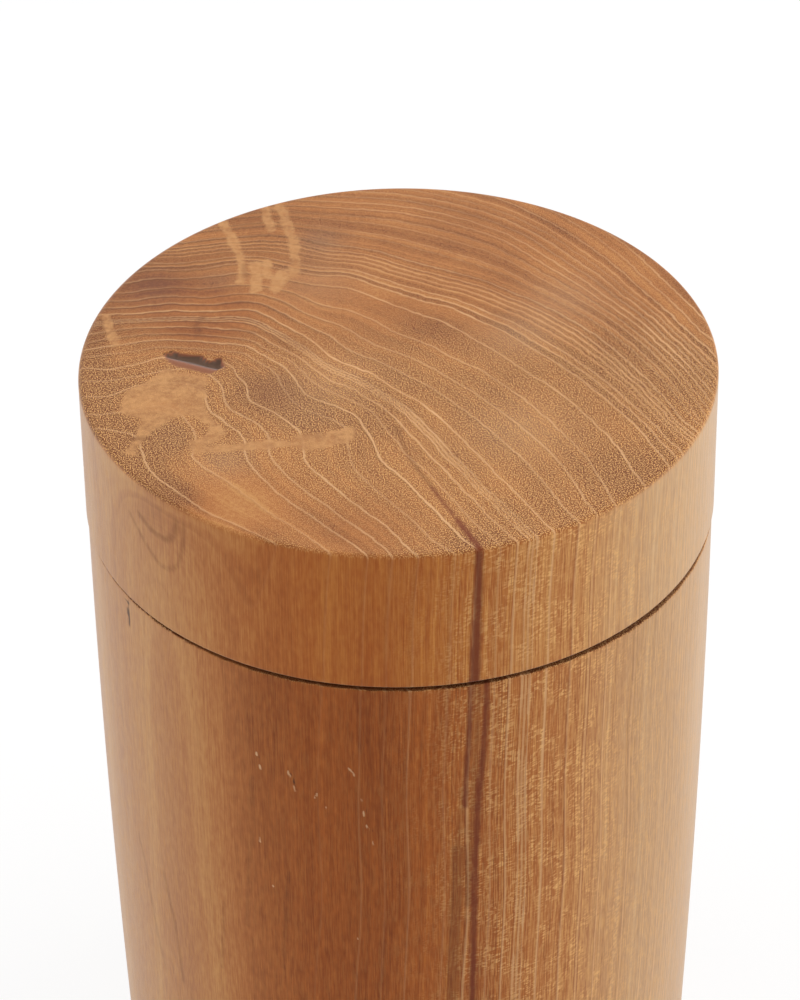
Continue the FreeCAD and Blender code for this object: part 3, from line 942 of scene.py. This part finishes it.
@dataclass
class Jar(TurnedPiece):
    """The hollowed jar: an outside that draws in towards the foot, and an inside at an even wall."""

    foot: float = 0.0
    rim: float = SEAM
    shoulder_radius: float = 59.7
    side_draw_in: float = 3.3
    wall: float = 10.0
    floor_thickness: float = 12.0
    cavity_corner: float = 8.0
    foot_round: float = 1.5
    seam_round: float = 0.3
    mouth_round: float = 0.8
    # How far in the rim starts to fall away, how far its edge lies below the lid in front, and how much
    # more than that on the right and less on the left.
    relief: float = 4.0
    wear_depth: float = 1.0
    wear_right: float = 0.7
    wear_left: float = 0.5
    # Waves of handwork on the worn edge: depth, waves to the turn and lead in degrees.
    waves: tuple[tuple[float, float, float], ...] = ((0.07, 50, 0), (0.05, 130, 60))
    # How far down from the rim the marks are fine and the rows come closer.
    fine_depth: float = 45.0

    def side(self, height: Length) -> Length:
        """Radius of the outside at a height: it falls with the square of the drop, as a flat arc does."""
        drop = (self.rim - height) / (self.rim - self.foot)
        return self.shoulder_radius - self.side_draw_in * drop ** 2

    def section(self, azimuth: np.ndarray) -> tuple[np.ndarray, np.ndarray]:
        """From the middle of the floor up the inner wall, over the rim, down the side and under the foot.

        The floor, rim and foot are straight stretches, the corners are arcs, and the walls follow the
        side's radius. The rim's outer edge is rubbed down a little below the lid.

        Args:
            azimuth: radians from the front towards the right, one for each column.

        Returns:
            Radii and heights, a row for each point of the section and a column for each azimuth.
        """
        side = self.side
        floor, corner = self.foot + self.floor_thickness, self.cavity_corner
        mouth, seam, edge = self.mouth_round, self.seam_round, self.rim - self.wear(np.degrees(azimuth))
        corner_centre = (side(floor + corner) - self.wall - corner, floor + corner)
        mouth_centre = (side(self.rim - mouth) - self.wall + mouth, self.rim - mouth)
        shoulder_centre = (side(edge - seam) - seam, edge - seam)
        foot_top = self.foot + self.foot_round
        foot_centre = (side(foot_top) - self.foot_round, foot_top)
        inner_edge = self.shoulder_radius - self.relief
        fine_from = self.rim - self.fine_depth
        inside = np.linspace(floor + corner, self.rim - mouth, 24)
        upper = np.linspace(edge - seam, np.full_like(azimuth, fine_from), 74)
        lower = np.linspace(fine_from, foot_top, 66)
        points = [(0.0, floor)]
        points += straight((0.0, floor), (corner_centre[0], floor), 8)
        points += rounded(corner_centre, corner, -90, 0, 6)
        points += [(side(z) - self.wall, z) for z in inside[1:]]
        points += rounded(mouth_centre, mouth, 180, 90, 4)
        points += straight((mouth_centre[0], self.rim), (inner_edge, self.rim), 4)
        points += straight((inner_edge, self.rim), (shoulder_centre[0], edge), 4)
        points += rounded(shoulder_centre, seam, 90, 0, 5)
        points += [(side(z), z) for z in upper[1:]]
        points += [(side(z), z) for z in lower[1:]]
        points += rounded(foot_centre, self.foot_round, 0, -90, 5)
        points += straight((foot_centre[0], self.foot), (0.0, self.foot), 10)
        return stacked(points, azimuth)

    def wear(self, turn: np.ndarray) -> np.ndarray:
        """How far the rim's outer edge lies below the lid: an even depth, more or less of it, and waves.

        Args:
            turn: azimuths in degrees.

        Returns:
            Depths in millimetres.
        """
        wavy = sum(depth * np.sin(np.radians(count * turn + lead)) for depth, count, lead in self.waves)
        left = ease(-170, -120, turn) * ease(-30, -65, turn)
        right = ease(15, 55, turn) * ease(150, 90, turn)
        return self.wear_depth + self.wear_right * right - self.wear_left * left + wavy

    def seam_shade_looks(self, points: np.ndarray, azimuth: np.ndarray) -> np.ndarray:
        """Painted shade in the seam under the lid, on the rubbed edge above the side, most at its outer
        end.

        Args:
            points: rows of (right, behind, height).
            azimuth: their azimuths in degrees.

        Returns:
            Painted shade from 0 off the edge to 1.
        """
        above = points[:, 2] - self.rim + self.wear(azimuth)
        radius = np.hypot(points[:, 0], points[:, 1])
        inner = self.shoulder_radius - self.relief
        return ease(-0.12, 0.08, above) * ease(inner, inner + 2.5, radius)

    def distance(self, points: np.ndarray, *kinds: Mark) -> np.ndarray:
        """Marks drawn on the side as if unrolled, and none away from the outside.

        Args:
            points: rows of (right, behind, height).
            kinds: the kinds of mark asked for.

        Returns:
            Signed distances to the nearest of them.
        """
        round_side = np.arctan2(points[:, 0], -points[:, 1]) * self.shoulder_radius
        radius = np.hypot(points[:, 0], points[:, 1])
        inwards = np.clip(self.shoulder_radius - self.side_draw_in - radius, 0, None)
        on_side = nearest_mark(JAR_BLOTS, kinds, round_side, points[:, 2])
        return np.minimum(on_side + self.INWARD_FADE * inwards, FAR)

    def shade(self, azimuth: np.ndarray) -> np.ndarray:
        """The jar's side is darker than the lid's in front and a bit on the right, and paler on the left.

        The front and the left are bell curves round their middles, and the right rises and falls again.

        Args:
            azimuth: degrees from the front towards the right.

        Returns:
            How much to take off the lift of the side wood.
        """
        middles = ((-3, 32), (-54, 16))
        front, left = [np.exp(-((azimuth - middle) / spread) ** 2) for middle, spread in middles]
        right = ease(30, 50, azimuth) * ease(75, 60, azimuth)
        return 0.06 + 0.5 * front - 0.2 * left + 0.26 * right


@dataclass
class Lid(TurnedPiece):
    """The lid: a cap whose side carries on from the jar, with a spigot ring below and a hollow inside."""

    seat: float = SEAM
    top: float = LID_TOP
    radius: float = 60.0
    top_thickness: float = 12.0
    hollow_corner: float = 6.0
    edge_round: float = 0.8
    seam_round: float = 0.3
    spigot_radius: float = 49.3
    spigot_foot: float = 138.0
    spigot_wall: float = 5.0
    spigot_round: float = 0.8
    # How much rounder the edge is on the left.
    left_softness: float = 0.6
    # How deep the hole of the lost knot goes, where its front edge crosses the middle, and its slant.
    hole_depth: float = 1.1
    hole_front: float = -40.7
    hole_slant: float = 0.44
    # Heights nearer than this count as the same.
    same_height: float = 0.01

    def section(self, azimuth: np.ndarray) -> tuple[np.ndarray, np.ndarray]:
        """From the middle of the top, over the edge, down the side, round the spigot and into the hollow.

        Every face is a straight stretch and every corner an arc. The edge is softer on the left, and the
        top dips into the knot's hole.

        Args:
            azimuth: radians from the front towards the right, one for each column.

        Returns:
            Radii and heights, a row for each point of the section and a column for each azimuth.
        """
        turn = np.degrees(azimuth)
        left = ease(-40, -95, turn) * ease(-178, -130, turn)
        edge = self.edge_round * (1 + self.left_softness * left)
        seam = self.seam_round
        hollow = self.spigot_radius - self.spigot_wall
        ceiling = self.top - self.top_thickness
        small, corner = self.spigot_round, self.hollow_corner
        spigot, foot = self.spigot_radius, self.spigot_foot
        points = [(0.0, self.top)]
        points += straight((0.0, self.top), (self.radius - edge, self.top), 100)
        points += rounded((self.radius - edge, self.top - edge), edge, 90, 0, 7)
        points += straight((self.radius, self.top - edge), (self.radius, self.seat + seam), 36)
        points += rounded((self.radius - seam, self.seat + seam), seam, 0, -90, 4)
        points += straight((self.radius - seam, self.seat), (spigot + seam, self.seat), 5)
        points += rounded((spigot + seam, self.seat - seam), seam, 90, 180, 3)
        points += straight((spigot, self.seat - seam), (spigot, foot + small), 6)
        points += rounded((spigot - small, foot + small), small, 0, -90, 4)
        points += straight((spigot - small, foot), (hollow + small, foot), 2)
        points += rounded((hollow + small, foot + small), small, -90, -180, 4)
        points += straight((hollow, foot + small), (hollow, ceiling - corner), 10)
        points += rounded((hollow - corner, ceiling - corner), corner, 0, 90, 7)
        points += straight((hollow - corner, ceiling), (0.0, ceiling), 8)
        radius, height = stacked(points, azimuth)
        grid = np.stack([radius * np.sin(azimuth), -radius * np.cos(azimuth), height], axis=2)
        to_edge, from_front = self.in_hole(grid.reshape(-1, 3))
        on_top = grid[..., 2].ravel() > self.top - self.same_height
        dip = ease(0.25, -0.8, to_edge) * ease(0.2, 3.2, from_front) * on_top
        return radius, height - self.hole_depth * dip.reshape(height.shape)

    def in_hole(self, points: np.ndarray) -> tuple[np.ndarray, np.ndarray]:
        """Signed distance to the hole's edge, and how far behind its slanting front edge points lie."""
        x, y = points[:, 0], points[:, 1]
        return nearest_mark(TOP_BLOTS, (Mark.HOLE,), x, y), y + self.hole_slant * (x - self.hole_front)

    def hole_looks(self, points: np.ndarray) -> np.ndarray:
        """The hole is dark behind with bark and painted shade, and a red wall rises gently in front.

        Args:
            points: rows of (right, behind, height).

        Returns:
            Bark and painted shade from 0 outside the hole to 1.
        """
        to_edge, from_front = self.in_hole(points)
        near_top = points[:, 2] > self.top - self.hole_depth - self.same_height
        return ease(0.12, -0.2, to_edge) * (0.4 + 0.6 * ease(1.0, 2.0, from_front)) * near_top

    def distance(self, points: np.ndarray, *kinds: Mark) -> np.ndarray:
        """Marks drawn on the top, which only show on and just below it, and marks drawn round the side.

        Args:
            points: rows of (right, behind, height).
            kinds: the kinds of mark asked for.

        Returns:
            Signed distances to the nearest of them.
        """
        x, y, z = points.T
        below = np.clip(self.top - self.hole_depth - z, 0, None)
        on_top = nearest_mark(TOP_BLOTS, kinds, x, y) + self.DOWNWARD_FADE * below
        inwards = np.clip(self.radius - self.edge_round - np.hypot(x, y), 0, None)
        round_side = np.arctan2(x, -y) * self.radius
        on_side = nearest_mark(LID_BLOTS, kinds, round_side, z) + self.INWARD_FADE * inwards
        return np.minimum(np.minimum(on_top, on_side), FAR)


@dataclass(frozen=True)
class SoftBox:
    """A large soft light, in metres and watts."""

    name: str
    place: tuple[float, float, float]
    size: Point
    power: float

    def hang(self, target: Vector) -> None:
        """Hangs the light and points it at the target.

        Args:
            target: where it points, in metres.
        """
        lamp = bpy.data.lights.new(self.name, "AREA")
        lamp.shape = "RECTANGLE"
        lamp.size, lamp.size_y = self.size
        lamp.energy = self.power
        holder = bpy.data.objects.new(self.name, lamp)
        holder.location = self.place
        holder.rotation_euler = (target - Vector(self.place)).to_track_quat("-Z", "Y").to_euler()
        bpy.context.scene.collection.objects.link(holder)


@dataclass(frozen=True)
class Studio:
    """The pale floor, the soft light and the camera at the photograph's viewing angle, in metres."""

    # Camera: how far it stands from the middle of the lid's top, how steeply it looks, and where it aims.
    distance: float = 0.8558
    elevation: float = 35.15
    aim_height: float = 0.1475
    roll: float = -0.74
    # Focal length in pixels of the 800 by 1000 picture, whose longer side takes the sensor's width.
    focal_pixels: float = 4563.0
    picture_height: float = 1000.0
    sensor: float = 36.0
    # White paper on the floor, how brightly it glows to the camera and how much of what is seen is glow.
    floor_half: float = 4.0
    paper: str = "e8e8e8"
    white: str = "ffffff"
    glow: float = 1.06
    glow_share: float = 0.8
    # Strength of the surroundings' light, and the height that the lights point at.
    surroundings: float = 0.18
    lit_height: float = 0.1
    boxes: tuple[SoftBox, ...] = (
        SoftBox("left_box", (-1.6, 0.0, 0.8), (1.6, 1.6), 18.0),
        SoftBox("right_box", (1.6, 0.0, 0.8), (1.6, 1.6), 28.0),
        SoftBox("back_box", (0.0, 2.2, 1.5), (3.0, 2.5), 18.0),
        SoftBox("top_box", (0.0, -0.4, 2.0), (1.6, 1.6), 12.0),
    )

    def set_up(self) -> None:
        """Places the camera, the lights, the floor and the white surroundings."""
        bpy.context.scene.view_settings.view_transform = "Standard"
        self.place_camera()
        for box in self.boxes:
            box.hang(Vector((0, 0, self.lit_height)))
        self.lay_floor()
        self.surround()

    def place_camera(self) -> None:
        """Stands the camera in front of the object, tipped down at the lid and rolled a little."""
        tip = math.radians(self.elevation)
        above = LID_TOP * MM + self.distance * math.sin(tip)
        eye = Vector((0, -self.distance * math.cos(tip), above))
        look = Vector((0, 0, self.aim_height)) - eye
        data = bpy.data.cameras.new("camera")
        data.sensor_width = self.sensor
        data.lens = self.focal_pixels * self.sensor / self.picture_height
        camera = bpy.data.objects.new("camera", data)
        roll = Matrix.Rotation(math.radians(self.roll), 3, "Z")
        turn = look.to_track_quat("-Z", "Y").to_matrix() @ roll
        camera.matrix_world = Matrix.Translation(eye) @ turn.to_4x4()
        bpy.context.scene.collection.objects.link(camera)
        bpy.context.scene.camera = camera

    def lay_floor(self) -> None:
        """A wide flat sheet under the jar that looks white and keeps a faint shadow."""
        corners = self.floor_half * np.array([(-1, -1, 0), (1, -1, 0), (1, 1, 0), (-1, 1, 0)])
        mesh = bpy.data.meshes.new("floor")
        mesh.from_pydata(corners.tolist(), [], [(0, 1, 2, 3)])
        paper = bpy.data.materials.new("white_paper")
        board = NodeBoard(paper)
        matt = board.add("BsdfDiffuse", linear_colour(self.paper))
        glow = board.add("Emission", linear_colour(self.white), self.glow)
        share = board.add("Math", self.seen(board), self.glow_share, operation="MULTIPLY")
        board.add("OutputMaterial", board.add("MixShader", share, matt, glow))
        mesh.materials.append(paper)
        floor = bpy.data.objects.new("floor", mesh)
        bpy.context.scene.collection.objects.link(floor)

    def surround(self) -> None:
        """White surroundings that light the object softly and look plain white behind it."""
        world = bpy.data.worlds.new("white_room")
        bpy.context.scene.world = world
        board = NodeBoard(world)
        seen = self.seen(board)
        white = board.add("Background", linear_colour(self.white), 1.0)
        soft = board.add("Background", linear_colour(self.white), self.surroundings)
        board.add("OutputWorld", board.add("MixShader", seen, soft, white))

    @staticmethod
    def seen(board: NodeBoard) -> bpy.types.NodeSocket:
        """What the camera sees straight, mirrored or through glass, apart from light on its way.

        Args:
            board: the node tree that asks.

        Returns:
            A socket that is 1 where it is seen so, and 0 elsewhere.
        """
        rays = ("Is Camera Ray", "Is Glossy Ray", "Is Transmission Ray")
        looked_at, mirrored, through = board.add("LightPath", out=rays)
        shown = board.add("Math", looked_at, mirrored, operation="MAXIMUM")
        return board.add("Math", shown, through, operation="MAXIMUM")


def main() -> None:
    """Builds the jar and the lid in order, hangs each on its body and hides its CAD part, and sets up the
    studio.
    """
    logging.basicConfig(level=logging.INFO)
    log = LogFigure()
    finish = OiledTeak().material()
    makers = {
        "jar": Jar("turned_jar", 480, ((0, 60, 0.8),)),
        "lid": Lid("turned_lid", 500, ((0, 60, 0.5), (-92, 25, 0.8))),
    }
    for body, maker in makers.items():
        piece = maker.build(log, finish)
        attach(piece, body)
        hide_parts(body)
        LOG.info("%s: %d faces", piece.name, len(piece.data.polygons))
    Studio().set_up()


if __name__ == "__main__":
    main()
